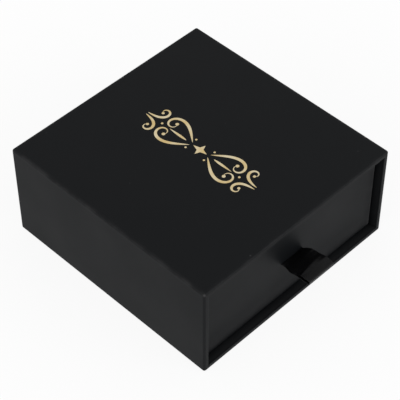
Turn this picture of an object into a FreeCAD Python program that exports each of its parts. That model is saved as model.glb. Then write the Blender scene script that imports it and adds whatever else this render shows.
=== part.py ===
import FreeCAD, Part
import math
import os
import re

from FreeCAD import Vector
import Sketcher

# A sliding drawer gift box: a square sleeve of greyboard covered in black paper,
# closed at the back, and a papered board drawer that slides out of its front mouth
# by a satin ribbon loop.
#
# Frame: the origin is at the middle of the sleeve's underside. +X runs to the right
# along the drawer front, -Y is the way the drawer opens and +Z is up.
# Every length is in millimetres.

# ---------------------------------------------------------------------------
# Driving dimensions, kept in the document's spreadsheet
# ---------------------------------------------------------------------------

DRIVING_SIZES = (
    # the sleeve
    ("sleeve_width", 100.0, "outside, side to side"),
    ("sleeve_length", 103.0, "outside, from the mouth to the back"),
    ("sleeve_height", 44.5, "outside, from the underside to the lid face"),
    ("sleeve_board", 2.0, "thickness of the sleeve's greyboard"),
    ("sleeve_turn_in", 16.0, "depth of the paper folded in at the mouth"),
    ("base_sheet", 0.15, "thickness of the sheet under the sleeve"),
    ("base_sheet_margin", 1.5, "the sheet's distance from the sleeve's sides"),
    ("liner_paper", 0.15, "thickness of the lining papers"),
    # what both share
    ("wrap_paper", 0.18, "thickness of the black wrapping paper"),
    ("board_edge_radius", 0.8, "rounding of the boards' outer edges"),
    ("rim_inner_radius", 0.35, "rounding of the rims' inner edges"),
    ("stay_tape", 0.08, "thickness of the gummed corner tape"),
    ("sleeve_stay_leg", 10.0, "width of the sleeve's tape on each side of an edge"),
    ("drawer_stay_leg", 8.0, "width of the drawer's tape on each side of an edge"),
    ("stay_end_gap", 3.0, "how far a tape stops short of a rim or of the next tape"),
    # the drawer and its room in the sleeve
    ("drawer_board", 1.5, "thickness of the drawer's greyboard"),
    ("drawer_recess", 3.35, "how far the closed drawer's face stands inside the mouth"),
    ("side_clearance", 0.35, "room at each side of the drawer"),
    ("lid_clearance", 0.35, "room between the drawer's rim and the lid"),
    ("floor_clearance", 0.3, "room under the drawer"),
    ("stop_clearance", 0.3, "room between the closed drawer and the back"),
    # the ribbon pull
    ("ribbon_offset", 0.45, "the ribbon's distance to the right of the middle"),
    ("ribbon_drop", 0.85, "how far the slit lies below the middle of the drawer's height"),
    ("ribbon_width", 13.4, "width of the ribbon where it lies open"),
    ("ribbon_gather", 1.9, "how much narrower it is gathered in the slit"),
    ("ribbon_thickness", 0.3, "thickness of one layer"),
    ("ribbon_layer_gap", 0.1, "gap between the two layers in the slit"),
    ("ribbon_clearance", 0.1, "room round the ribbon in the slit and the patch"),
    ("ribbon_reach", 13.7, "how far the loop stands out of the drawer's face"),
    ("ribbon_crest_reach", 8.6, "where the upper layer is highest"),
    ("ribbon_crest_rise", 2.5, "how high the upper layer rises above the slit"),
    ("ribbon_tip_rise", 0.9, "height of the fold's top above the slit"),
    ("ribbon_fold", 1.6, "height of the fold at the loop's end"),
    ("ribbon_sag", 1.0, "how far the lower layer hangs below the slit"),
    ("ribbon_straight", 0.8, "length of the straight run outside the slit"),
    ("ribbon_fold_radius", 0.35, "inner radius of the fold at the loop's end"),
    ("ribbon_mouth_radius", 4.0, "bend of each layer just outside the slit"),
    ("ribbon_crest_radius", 5.0, "bend of the upper layer at its crest"),
    ("ribbon_belly_radius", 9.0, "bend of the lower layer where it hangs lowest"),
    ("ribbon_drift", 1.3, "how far the loop's end leans to the right"),
    ("ribbon_spread", 4.5, "length over which the ribbon opens outside the slit"),
    ("patch_paper", 0.2, "thickness of the patch over the ribbon's tails"),
    ("patch_margin", 4.0, "the patch's width round the tails"),
    ("patch_end_gap", 4.0, "the patch's distance from the drawer's floor and rim"),
    # the foil ornament on the lid
    ("foil_thickness", 0.04, "thickness of the hot-stamped foil"),
    ("ornament_length", 57.8, "length of the ornament along the sliding direction"),
    ("ornament_stroke", 1.2, "greatest width of its inner scrolls"),
    ("ornament_outer_stroke", 1.05, "greatest width of its outer scrolls"),
    ("ornament_leaf_stroke", 0.95, "greatest width of its leaves"),
    ("ornament_hair", 0.12, "width of a stroke at its fine end"),
)

doc = FreeCAD.newDocument("sliding_drawer_gift_box")
sheet = doc.addObject("Spreadsheet::Sheet", "sizes")
for row, (alias, length, meaning) in enumerate(DRIVING_SIZES, start=1):
    sheet.set("A%d" % row, meaning)
    sheet.set("B%d" % row, str(length))
    sheet.setAlias("B%d" % row, alias)
doc.recompute()

ALIASES = re.compile(r"\b(" + "|".join(entry[0] for entry in DRIVING_SIZES) + r")\b")


def size(alias):
    """The number that the spreadsheet holds for one driving dimension."""
    return float(getattr(sheet, alias))


def bind(thing, target, formula):
    """Bind a property or constraint to a formula of driving dimensions."""
    thing.setExpression(target, ALIASES.sub(r"sizes.\1", formula))


measures = doc.addObject("App::FeaturePython", "measures")


def measure(name, formula):
    """The length that a formula of driving dimensions comes to."""
    measures.addProperty("App::PropertyFloat", name)
    bind(measures, name, formula)
    doc.recompute()
    return getattr(measures, name)


# ---------------------------------------------------------------------------
# Places that several pieces share, as formulas of the driving dimensions
# ---------------------------------------------------------------------------

# the sleeve's boards, inside the wrap
BOARD_LEFT = "(-sleeve_width / 2 + wrap_paper)"
BOARD_FRONT = "(-sleeve_length / 2 + wrap_paper)"
BOARD_BOTTOM = "(base_sheet + wrap_paper)"
BOARD_WIDTH = "(sleeve_width - 2 * wrap_paper)"
BOARD_HEIGHT = "(sleeve_height - base_sheet - 2 * wrap_paper)"
WALL_DEPTH = "(sleeve_length - 2 * wrap_paper - sleeve_board)"
WALL_HEIGHT = "(sleeve_height - base_sheet - 2 * wrap_paper - 2 * sleeve_board)"

# the room between the boards, and the clear mouth between the turned-in papers
ROOM_WIDTH = "(sleeve_width - 2 * wrap_paper - 2 * sleeve_board)"
ROOM_FLOOR = "(base_sheet + wrap_paper + sleeve_board)"
ROOM_BACK = "(sleeve_length / 2 - wrap_paper - sleeve_board)"
MOUTH_WALL = "(sleeve_board + 2 * wrap_paper)"
MOUTH_WIDTH = "(sleeve_width - 2 * sleeve_board - 4 * wrap_paper)"
MOUTH_HEIGHT = "(sleeve_height - base_sheet - 2 * sleeve_board - 4 * wrap_paper)"

# the closed drawer's outside
DRAWER_WIDTH = "(sleeve_width - 2 * sleeve_board - 4 * wrap_paper - 2 * side_clearance)"
DRAWER_LENGTH = ("(sleeve_length - drawer_recess - wrap_paper - sleeve_board"
                 " - liner_paper - stop_clearance)")
DRAWER_HEIGHT = ("(sleeve_height - base_sheet - 2 * sleeve_board - 4 * wrap_paper"
                 " - lid_clearance - floor_clearance)")
DRAWER_LEFT = "(-" + DRAWER_WIDTH + " / 2)"
DRAWER_FRONT = "(-sleeve_length / 2 + drawer_recess)"
DRAWER_BOTTOM = "(base_sheet + sleeve_board + 2 * wrap_paper + floor_clearance)"

# the drawer's boards, inside its own wrap
TRAY_LEFT = "(" + DRAWER_LEFT + " + wrap_paper)"
TRAY_FRONT = "(" + DRAWER_FRONT + " + wrap_paper)"
TRAY_BOTTOM = "(" + DRAWER_BOTTOM + " + wrap_paper)"
TRAY_WIDTH = "(" + DRAWER_WIDTH + " - 2 * wrap_paper)"
TRAY_LENGTH = "(" + DRAWER_LENGTH + " - 2 * wrap_paper)"
TRAY_WALL_BOTTOM = "(" + TRAY_BOTTOM + " + drawer_board)"
TRAY_WALL_HEIGHT = "(" + DRAWER_HEIGHT + " - 2 * wrap_paper - drawer_board)"
DRAWER_WALL = "(drawer_board + 2 * wrap_paper)"

# the slit that the ribbon comes through
SLIT_WIDTH = "(ribbon_width - ribbon_gather + 2 * ribbon_clearance)"
SLIT_HEIGHT = "(2 * ribbon_thickness + ribbon_layer_gap + 2 * ribbon_clearance)"
SLIT_LEVEL = "(" + DRAWER_BOTTOM + " + " + DRAWER_HEIGHT + " / 2 - ribbon_drop)"

# the patch over the ribbon's tails, between the drawer's floor and its rim
INSIDE_FLOOR = "(" + TRAY_WALL_BOTTOM + " + liner_paper)"
DRAWER_RIM = "(" + DRAWER_BOTTOM + " + " + DRAWER_HEIGHT + ")"
PATCH_BOTTOM = "(" + INSIDE_FLOOR + " + patch_end_gap)"
PATCH_HEIGHT = "(" + DRAWER_RIM + " - " + INSIDE_FLOOR + " - 2 * patch_end_gap)"
PATCH_RECESS = "(ribbon_thickness + 2 * ribbon_clearance)"
UPPER_TAIL = ("(" + PATCH_BOTTOM + " + " + PATCH_HEIGHT + " - " + SLIT_LEVEL
              + " - patch_margin - ribbon_clearance)")
LOWER_TAIL = "(" + SLIT_LEVEL + " - " + PATCH_BOTTOM + " - patch_margin - ribbon_clearance)"

# a board's rounding stays within the board, and the paper over it follows
SLEEVE_ROUND = "min(board_edge_radius; 0.9 * sleeve_board)"
DRAWER_ROUND = "min(board_edge_radius; 0.9 * drawer_board)"
SLEEVE_WRAP_ROUND = "(" + SLEEVE_ROUND + " + wrap_paper)"
DRAWER_WRAP_ROUND = "(" + DRAWER_ROUND + " + wrap_paper)"

SLEEVE_NODES = []
DRAWER_NODES = []


# ---------------------------------------------------------------------------
# Ways of making a piece
# ---------------------------------------------------------------------------

def plane_of(body, role):
    """One of a body's own origin planes."""
    for feature in body.Origin.OriginFeatures:
        if feature.Role == role:
            return feature
    raise ValueError("no origin plane called " + role)


def sketch_on(body, name, role, offset=None):
    """A sketch on a body's origin plane, moved along its normal by a formula."""
    sketch = body.newObject("Sketcher::SketchObject", name)
    sketch.AttachmentSupport = [(plane_of(body, role), "")]
    sketch.MapMode = "FlatFace"
    if offset is not None:
        bind(sketch, "AttachmentOffset.Base.z", offset)
    return sketch


def draw_rectangle(sketch, width, height, left=None, low=None):
    """A rectangle from the sketch's origin, or from a corner set by two formulas."""
    corners = (Vector(1, 1, 0), Vector(11, 1, 0), Vector(11, 8, 0), Vector(1, 8, 0))
    for index, corner in enumerate(corners):
        following = corners[(index + 1) % len(corners)]
        sketch.addGeometry(Part.LineSegment(corner, following), False)
    for index in range(len(corners)):
        sketch.addConstraint(Sketcher.Constraint("Coincident", index, 2, (index + 1) % 4, 1))
    for index in (0, 2):
        sketch.addConstraint(Sketcher.Constraint("Horizontal", index))
    for index in (1, 3):
        sketch.addConstraint(Sketcher.Constraint("Vertical", index))
    across = sketch.addConstraint(Sketcher.Constraint("DistanceX", 0, 1, 0, 2, 10.0))
    upward = sketch.addConstraint(Sketcher.Constraint("DistanceY", 1, 1, 1, 2, 7.0))
    bind(sketch, "Constraints[%d]" % across, width)
    bind(sketch, "Constraints[%d]" % upward, height)
    if left is None:
        sketch.addConstraint(Sketcher.Constraint("Coincident", 0, 1, -1, 1))
        return
    aside = sketch.addConstraint(Sketcher.Constraint("DistanceX", -1, 1, 0, 1, 1.0))
    above = sketch.addConstraint(Sketcher.Constraint("DistanceY", -1, 1, 0, 1, 1.0))
    bind(sketch, "Constraints[%d]" % aside, left)
    bind(sketch, "Constraints[%d]" % above, low)


def place(piece, left, front, bottom):
    """Put a piece's own origin at a point set by three formulas."""
    bind(piece, "Placement.Base.x", left)
    bind(piece, "Placement.Base.y", front)
    bind(piece, "Placement.Base.z", bottom)


def block(name, width, length, height, left, front, bottom):
    """A body padded up from a rectangle, with its lowest corner placed."""
    body = doc.addObject("PartDesign::Body", name)
    body.Label = name
    sketch = sketch_on(body, name + "_outline", "XY_Plane")
    draw_rectangle(sketch, width, length)
    pad = body.newObject("PartDesign::Pad", name + "_pad")
    pad.Profile = sketch
    bind(pad, "Length", height)
    place(body, left, front, bottom)
    sketch.Visibility = False
    doc.recompute()
    return body


SIDES = {
    "left": "XMin", "right": "XMax",
    "front": "YMin", "rear": "YMax",
    "bottom": "ZMin", "top": "ZMax",
}
ALL_EDGES = ("left front", "right front", "left rear", "right rear",
             "left bottom", "right bottom", "front bottom", "rear bottom",
             "left top", "right top", "front top", "rear top")


def lies_on(edge, bounds, side):
    """Whether an edge lies flat on one side of a box."""
    level = getattr(bounds, SIDES[side])
    axis = SIDES[side][0].lower()
    return all(abs(getattr(vertex.Point, axis) - level) < 1e-4 for vertex in edge.Vertexes)


def round_edges(body, radius, pairs):
    """Round the edges of a plain block, each named by the two sides it joins."""
    base = body.Tip
    bounds = base.Shape.BoundBox
    names = []
    for number, edge in enumerate(base.Shape.Edges, start=1):
        for pair in pairs:
            if all(lies_on(edge, bounds, side) for side in pair.split()):
                names.append("Edge%d" % number)
    assert len(names) == len(pairs), body.Label
    add_fillet(body, base, names, radius, "_rounding")


def add_fillet(body, base, names, radius, suffix):
    fillet = body.newObject("PartDesign::Fillet", body.Name + suffix)
    fillet.Base = (base, names)
    bind(fillet, "Radius", radius)
    base.Visibility = False
    doc.recompute()


def cut_pocket(body, sketch, suffix, depth):
    """Cut a sketch into a body and check that the cut took material away."""
    before = body.Tip.Shape.Volume
    pocket = body.newObject("PartDesign::Pocket", body.Name + suffix)
    pocket.Profile = sketch
    bind(pocket, "Length", depth)
    sketch.Visibility = False
    doc.recompute()
    assert pocket.Shape.Volume < before - 1e-6, pocket.Name
    return pocket


def round_rim(body, side, bounds_inside):
    """Round the inner edges of a rim: those on its side that lie well inside it."""
    base = body.Tip
    bounds = base.Shape.BoundBox
    names = []
    for number, edge in enumerate(base.Shape.Edges, start=1):
        middle = edge.CenterOfMass
        inside = all(low < value < high for value, (low, high) in
                     zip((middle.x, middle.y, middle.z), bounds_inside(bounds)))
        if lies_on(edge, bounds, side) and inside:
            names.append("Edge%d" % number)
    assert len(names) == 4, body.Label
    add_fillet(body, base, names, "rim_inner_radius", "_rim_rounding")


def box(name, width, length, height, left, front, bottom):
    """A Part box with its lowest corner placed."""
    solid = doc.addObject("Part::Box", name)
    bind(solid, "Length", width)
    bind(solid, "Width", length)
    bind(solid, "Height", height)
    place(solid, left, front, bottom)
    return solid


def cut(name, base, tool):
    result = doc.addObject("Part::Cut", name)
    result.Label = name
    result.Base = base
    result.Tool = tool
    result.Refine = True
    return result


def fuse(name, pieces):
    result = doc.addObject("Part::MultiFuse", name)
    result.Shapes = pieces
    result.Refine = True
    return result


def mirrored_set(name, source, mirrors):
    """A piece and its mirror images. Each mirror is an axis and a formula of its place."""
    members = [source]
    for number, (axis, level) in enumerate(mirrors, start=1):
        images = []
        for member in members:
            image = doc.addObject("Part::Mirroring", "%s_image_%d" % (member.Name, number))
            image.Source = member
            image.Normal = Vector(axis == "x", axis == "y", axis == "z")
            bind(image, "Base." + axis, level)
            images.append(image)
        members = members + images
    group = doc.addObject("Part::Compound", name)
    group.Label = name
    group.Links = members
    return group


def angle_strip(name, leg, run, board_radius, rotation, left, front, bottom):
    """A strip of tape folded round a long edge, its legs along its own X and Y."""
    body = doc.addObject("PartDesign::Body", name)
    section = sketch_on(body, name + "_section", "XY_Plane")
    corners = (Vector(0, 0, 0), Vector(9, 0, 0), Vector(9, 1, 0),
               Vector(1, 1, 0), Vector(1, 9, 0), Vector(0, 9, 0))
    count = len(corners)
    for index, corner in enumerate(corners):
        section.addGeometry(Part.LineSegment(corner, corners[(index + 1) % count]), False)
    for index in range(count):
        section.addConstraint(
            Sketcher.Constraint("Coincident", index, 2, (index + 1) % count, 1))
        straight = "Horizontal" if index % 2 == 0 else "Vertical"
        section.addConstraint(Sketcher.Constraint(straight, index))
    section.addConstraint(Sketcher.Constraint("Coincident", 0, 1, -1, 1))
    for kind, line, length, formula in (("DistanceX", 0, 9.0, leg),
                                        ("DistanceY", 1, 1.0, "stay_tape")):
        number = section.addConstraint(Sketcher.Constraint(kind, line, 1, line, 2, length))
        bind(section, "Constraints[%d]" % number, formula)
    for kind, point, length, formula in (("DistanceX", 4, 1.0, "stay_tape"),
                                         ("DistanceY", 5, 9.0, leg)):
        number = section.addConstraint(Sketcher.Constraint(kind, -1, 1, point, 1, length))
        bind(section, "Constraints[%d]" % number, formula)
    pad = body.newObject("PartDesign::Pad", name + "_pad")
    pad.Profile = section
    bind(pad, "Length", run)
    section.Visibility = False
    body.Placement = FreeCAD.Placement(Vector(), rotation)
    place(body, left, front, bottom)
    doc.recompute()
    for suffix, corner_distance, radius in (("_outer_fold", 0.0, board_radius + " + stay_tape"),
                                            ("_inner_fold", size("stay_tape"), board_radius)):
        base = body.Tip
        names = []
        for number, edge in enumerate(base.Shape.Edges, start=1):
            points = [vertex.Point for vertex in edge.Vertexes]
            if all(abs(point.x - corner_distance) + abs(point.y - corner_distance) < 1e-4
                   for point in points):
                names.append("Edge%d" % number)
        assert len(names) == 1, name
        add_fillet(body, base, names, radius, suffix)
    return body


# ---------------------------------------------------------------------------
# The sleeve
# ---------------------------------------------------------------------------

def make_sleeve_boards():
    """Five greyboards: lid and floor over the sides, and the rear board over all four."""
    lid = block("sleeve_top_board", BOARD_WIDTH, WALL_DEPTH, "sleeve_board",
                BOARD_LEFT, BOARD_FRONT, "sleeve_height - wrap_paper - sleeve_board")
    round_edges(lid, SLEEVE_ROUND,
                ("left top", "right top", "front top", "left front", "right front"))
    floor = block("sleeve_bottom_board", BOARD_WIDTH, WALL_DEPTH, "sleeve_board",
                  BOARD_LEFT, BOARD_FRONT, BOARD_BOTTOM)
    round_edges(floor, SLEEVE_ROUND,
                ("left bottom", "right bottom", "front bottom", "left front", "right front"))
    left = block("sleeve_left_board", "sleeve_board", WALL_DEPTH, WALL_HEIGHT,
                 BOARD_LEFT, BOARD_FRONT, ROOM_FLOOR)
    round_edges(left, SLEEVE_ROUND, ("left front",))
    right = block("sleeve_right_board", "sleeve_board", WALL_DEPTH, WALL_HEIGHT,
                  ROOM_WIDTH + " / 2", BOARD_FRONT, ROOM_FLOOR)
    round_edges(right, SLEEVE_ROUND, ("right front",))
    rear = block("sleeve_rear_board", BOARD_WIDTH, "sleeve_board", BOARD_HEIGHT,
                 BOARD_LEFT, ROOM_BACK, BOARD_BOTTOM)
    round_edges(rear, SLEEVE_ROUND,
                ("rear top", "rear bottom", "left rear", "right rear",
                 "left top", "right top", "left bottom", "right bottom"))
    boards = [lid, floor, left, right, rear]
    SLEEVE_NODES.extend(boards)
    return boards


def make_sleeve_stays():
    """Gummed tape folded round the four long edges and round the rear board's edges."""
    mid_height = "(sleeve_height + base_sheet) / 2"
    tape_left = BOARD_LEFT + " - stay_tape"
    tape_bottom = BOARD_BOTTOM + " - stay_tape"
    tape_back = "sleeve_length / 2 - wrap_paper + stay_tape"
    # the long tape's own X and Y lie along +X and +Z, so it runs towards -Y
    along = FreeCAD.Rotation(Vector(1, 0, 0), 90)
    long_run = ("sleeve_length - 2 * wrap_paper - 2 * stay_end_gap - sleeve_stay_leg"
                " + stay_tape")
    long_start = tape_back + " - sleeve_stay_leg - stay_end_gap"
    long_strip = angle_strip("sleeve_long_stay", "sleeve_stay_leg", long_run, SLEEVE_ROUND,
                             along, tape_left, long_start, tape_bottom)
    corner_stays = mirrored_set("sleeve_corner_stays", long_strip,
                                (("x", "0"), ("z", mid_height)))
    # the rear board's lower tape: X and Y along -Y and +Z, running towards -X
    across = FreeCAD.Rotation(Vector(0, -1, 0), Vector(0, 0, 1), Vector(-1, 0, 0), "ZXY")
    across_run = BOARD_WIDTH + " - 2 * sleeve_stay_leg - 2 * stay_end_gap"
    across_strip = angle_strip("sleeve_rear_lower_stay", "sleeve_stay_leg", across_run,
                               SLEEVE_ROUND, across, "(" + across_run + ") / 2",
                               tape_back, tape_bottom)
    # the rear board's left tape: X and Y along -Y and +X, running up
    upright = FreeCAD.Rotation(Vector(0, -1, 0), Vector(1, 0, 0), Vector(0, 0, 1), "ZXY")
    upright_run = BOARD_HEIGHT + " - 2 * sleeve_stay_leg - 2 * stay_end_gap"
    upright_strip = angle_strip("sleeve_rear_left_stay", "sleeve_stay_leg", upright_run,
                                SLEEVE_ROUND, upright, tape_left, tape_back,
                                BOARD_BOTTOM + " + sleeve_stay_leg + stay_end_gap")
    lower_pair = mirrored_set("sleeve_rear_level_stays", across_strip, (("z", mid_height),))
    left_pair = mirrored_set("sleeve_rear_upright_stays", upright_strip, (("x", "0"),))
    rear_stays = doc.addObject("Part::Compound", "sleeve_rear_stays")
    rear_stays.Label = "sleeve_rear_stays"
    rear_stays.Links = [lower_pair, left_pair]
    SLEEVE_NODES.extend([corner_stays, rear_stays])
    return [corner_stays, rear_stays]


def make_sleeve_wrap(boards, stays):
    """The black paper: outside, round the mouth's rim and in over the turn-in."""
    body = block("sleeve_wrap_form", "sleeve_width", "sleeve_length",
                 "sleeve_height - base_sheet",
                 "-sleeve_width / 2", "-sleeve_length / 2", "base_sheet")
    round_edges(body, SLEEVE_WRAP_ROUND, ALL_EDGES)
    mouth = sketch_on(body, "sleeve_mouth", "XZ_Plane")
    draw_rectangle(mouth, MOUTH_WIDTH, MOUTH_HEIGHT, MOUTH_WALL, MOUTH_WALL)
    cut_pocket(body, mouth, "_mouth", "sleeve_turn_in")
    room = sketch_on(body, "sleeve_room", "XZ_Plane", "-sleeve_turn_in")
    board_wall = "(sleeve_board + wrap_paper)"
    draw_rectangle(room, ROOM_WIDTH, WALL_HEIGHT, board_wall, board_wall)
    cut_pocket(body, room, "_room",
               "sleeve_length - sleeve_turn_in - sleeve_board - wrap_paper")
    wall = size("sleeve_board")
    round_rim(body, "front",
              lambda b: ((b.XMin + wall, b.XMax - wall), (b.YMin - 1, b.YMax),
                         (b.ZMin + wall, b.ZMax - wall)))
    core = fuse("sleeve_core", boards + stays)
    SLEEVE_NODES.append(cut("sleeve_wrap", body, core))


def make_sleeve_papers():
    """The sheet under the sleeve and the papers that line its inside."""
    SLEEVE_NODES.append(
        block("sleeve_base_sheet", "sleeve_width - 2 * base_sheet_margin",
              "sleeve_length - 2 * base_sheet_margin", "base_sheet",
              "-sleeve_width / 2 + base_sheet_margin",
              "-sleeve_length / 2 + base_sheet_margin", "0"))
    liner_front = "(-sleeve_length / 2 + sleeve_turn_in)"
    liner_length = "(sleeve_length - sleeve_turn_in - wrap_paper - sleeve_board)"
    tube = box("sleeve_liner_outside", ROOM_WIDTH, liner_length, WALL_HEIGHT,
               "-" + ROOM_WIDTH + " / 2", liner_front, ROOM_FLOOR)
    hollow = box("sleeve_liner_inside", ROOM_WIDTH + " - 2 * liner_paper", liner_length,
                 WALL_HEIGHT + " - 2 * liner_paper",
                 "-" + ROOM_WIDTH + " / 2 + liner_paper", liner_front,
                 ROOM_FLOOR + " + liner_paper")
    SLEEVE_NODES.append(cut("sleeve_liner", tube, hollow))
    SLEEVE_NODES.append(
        block("sleeve_rear_liner", ROOM_WIDTH + " - 2 * liner_paper", "liner_paper",
              WALL_HEIGHT + " - 2 * liner_paper",
              "-" + ROOM_WIDTH + " / 2 + liner_paper", ROOM_BACK + " - liner_paper",
              ROOM_FLOOR + " + liner_paper"))


# The ornament is drawn along u, the sliding direction, and across it along v. Its
# places are given for a pattern of this length, and PATTERN_UNIT fits them to the
# length that the spreadsheet gives.
PATTERN_LENGTH = 57.8
PATTERN_UNIT = size("ornament_length") / PATTERN_LENGTH
# A scroll's turn is in radians: how far its bend would turn it over its whole length.
INNER_SCROLL = {"start": (4.9, 0.9), "heading": 39, "length": 25.5,
                "first_turn": 0.0, "last_turn": -18.615, "power": 2.0}
OUTER_SCROLL = {"start": (28.9, 0.6), "heading": 176, "length": 15.5,
                "first_turn": -0.31, "last_turn": -14.725, "power": 1.6}
LEAF = {"start": (7.4, 0.0), "heading": 0, "length": 9.0,
        "first_turn": 0.0, "last_turn": 0.0, "power": 1.0}
INNER_BALL = 0.72
OUTER_BALL = 0.6
SIDE_DOT = {"u": 4.9, "v": 2.9, "radius": 0.45}
END_DOT = {"u": 20.6, "v": 0.0, "radius": 0.5}
STAR = {"long_point": 3.6, "short_point": 3.0, "waist": 1.27}
# a scroll and a leaf are widest at these shares of their lengths
SCROLL_FULLEST = 0.42
LEAF_FULLEST = 0.4
SCROLL_STEPS = 20


def scroll_line(start, heading, length, first_turn, last_turn, power):
    """Points and headings along a curve whose bend grows from its first to its last."""
    u, v = start
    angle = math.radians(heading)
    step = length / SCROLL_STEPS
    turn_growth = last_turn - first_turn
    line = [(u * PATTERN_UNIT, v * PATTERN_UNIT, angle)]
    for index in range(SCROLL_STEPS):
        share = (index + 0.5) / SCROLL_STEPS
        turn = (first_turn + turn_growth * share ** power) / SCROLL_STEPS
        middle = angle + turn / 2
        u += math.cos(middle) * step
        v += math.sin(middle) * step
        angle += turn
        line.append((u * PATTERN_UNIT, v * PATTERN_UNIT, angle))
    return line


def foil_from(edges):
    """A flat piece of foil inside a closed outline."""
    face = Part.Face(Part.Wire(Part.sortEdges(edges)[0]))
    return face.extrude(Vector(0, 0, size("foil_thickness")))


def foil_stroke(line, greatest_width, fullest):
    """A stroke that swells and tapers along a line. Fullest is where it is widest."""
    skew = math.log(0.5) / math.log(fullest)
    end_width = size("ornament_hair")
    left_side = []
    right_side = []
    for index, (u, v, angle) in enumerate(line):
        share = index / (len(line) - 1)
        half = (end_width + greatest_width * math.sin(math.pi * share ** skew)) / 2
        across = Vector(-math.sin(angle) * half, math.cos(angle) * half, 0)
        left_side.append(Vector(u, v, 0) + across)
        right_side.append(Vector(u, v, 0) - across)
    edges = []
    for side in (left_side, right_side):
        curve = Part.BSplineCurve()
        curve.interpolate(side)
        edges.append(curve.toShape())
    for end in (0, -1):
        edges.append(Part.LineSegment(left_side[end], right_side[end]).toShape())
    return foil_from(edges)


def foil_dot(u, v, radius):
    centre = Vector(u, v, 0) * PATTERN_UNIT
    return foil_from([Part.Circle(centre, Vector(0, 0, 1), radius * PATTERN_UNIT).toShape()])


def foil_star(long_point, short_point, waist):
    """A four-pointed star, longer along u."""
    points = []
    for turn, reach in enumerate((long_point, short_point, long_point, short_point)):
        for angle, radius in ((turn * math.pi / 2, reach), ((turn + 0.5) * math.pi / 2, waist)):
            along = Vector(math.cos(angle), math.sin(angle), 0)
            points.append(along * (radius * PATTERN_UNIT))
    return foil_from(Part.makePolygon(points + points[:1]).Edges)


def foil_scroll(line, greatest_width, ball):
    """A scroll that ends in a ball."""
    u, v, angle = line[-1]
    stroke = foil_stroke(line, greatest_width, SCROLL_FULLEST)
    return stroke.fuse(foil_dot(u / PATTERN_UNIT, v / PATTERN_UNIT, ball)).removeSplitter()


def make_foil_ornament():
    """A symmetrical band of scrolls, leaves and dots round a star, in gold foil."""
    in_each_quarter = (
        foil_scroll(scroll_line(**INNER_SCROLL), size("ornament_stroke"), INNER_BALL),
        foil_scroll(scroll_line(**OUTER_SCROLL), size("ornament_outer_stroke"), OUTER_BALL),
        foil_dot(**SIDE_DOT),
    )
    at_each_end = (
        foil_stroke(scroll_line(**LEAF), size("ornament_leaf_stroke"), LEAF_FULLEST),
        foil_dot(**END_DOT),
    )
    pieces = [foil_star(**STAR)]
    for u_sign in (1, -1):
        pieces.extend(reflect(piece, u_sign, 1) for piece in at_each_end)
        for v_sign in (1, -1):
            pieces.extend(reflect(piece, u_sign, v_sign) for piece in in_each_quarter)
    ornament = doc.addObject("Part::Feature", "lid_foil_ornament")
    ornament.Label = "lid_foil_ornament"
    ornament.Shape = Part.makeCompound([piece.Solids[0] for piece in pieces])
    # u is turned to lie along Y
    ornament.Placement.Rotation = FreeCAD.Rotation(Vector(0, 0, 1), 90)
    bind(ornament, "Placement.Base.z", "sleeve_height")
    SLEEVE_NODES.append(ornament)


def reflect(piece, u_sign, v_sign):
    """The piece mirrored across v when u_sign is -1, and across u when v_sign is -1."""
    result = piece.copy()
    if u_sign < 0:
        result = result.mirror(Vector(), Vector(1, 0, 0))
    if v_sign < 0:
        result = result.mirror(Vector(), Vector(0, 1, 0))
    return result


# ---------------------------------------------------------------------------
# The drawer
# ---------------------------------------------------------------------------

def cut_ribbon_slit(body, left, bottom, depth, suffix):
    """The slit through a body that starts at the given left and bottom formulas."""
    slit = sketch_on(body, body.Name + "_slit_outline", "XZ_Plane")
    draw_rectangle(slit, SLIT_WIDTH, SLIT_HEIGHT,
                   "ribbon_offset - " + SLIT_WIDTH + " / 2 - " + left,
                   SLIT_LEVEL + " - " + SLIT_HEIGHT + " / 2 - " + bottom)
    cut_pocket(body, slit, suffix, depth)


def make_drawer_boards():
    """A base board with four walls standing on it."""
    base = block("drawer_base_board", TRAY_WIDTH, TRAY_LENGTH, "drawer_board",
                 TRAY_LEFT, TRAY_FRONT, TRAY_BOTTOM)
    round_edges(base, DRAWER_ROUND,
                ("left bottom", "right bottom", "front bottom", "rear bottom",
                 "left front", "right front", "left rear", "right rear"))
    front = block("drawer_front_board", TRAY_WIDTH, "drawer_board", TRAY_WALL_HEIGHT,
                  TRAY_LEFT, TRAY_FRONT, TRAY_WALL_BOTTOM)
    round_edges(front, DRAWER_ROUND,
                ("left front", "right front", "front top", "left top", "right top"))
    cut_ribbon_slit(front, TRAY_LEFT, TRAY_WALL_BOTTOM, "drawer_board", "_slit")
    rear = block("drawer_rear_board", TRAY_WIDTH, "drawer_board", TRAY_WALL_HEIGHT,
                 TRAY_LEFT, TRAY_FRONT + " + " + TRAY_LENGTH + " - drawer_board",
                 TRAY_WALL_BOTTOM)
    round_edges(rear, DRAWER_ROUND,
                ("left rear", "right rear", "rear top", "left top", "right top"))
    side_length = TRAY_LENGTH + " - 2 * drawer_board"
    left = block("drawer_left_board", "drawer_board", side_length, TRAY_WALL_HEIGHT,
                 TRAY_LEFT, TRAY_FRONT + " + drawer_board", TRAY_WALL_BOTTOM)
    round_edges(left, DRAWER_ROUND, ("left top",))
    right = block("drawer_right_board", "drawer_board", side_length, TRAY_WALL_HEIGHT,
                  TRAY_WIDTH + " / 2 - drawer_board", TRAY_FRONT + " + drawer_board",
                  TRAY_WALL_BOTTOM)
    round_edges(right, DRAWER_ROUND, ("right top",))
    boards = [base, front, rear, left, right]
    DRAWER_NODES.extend(boards)
    return boards


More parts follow.
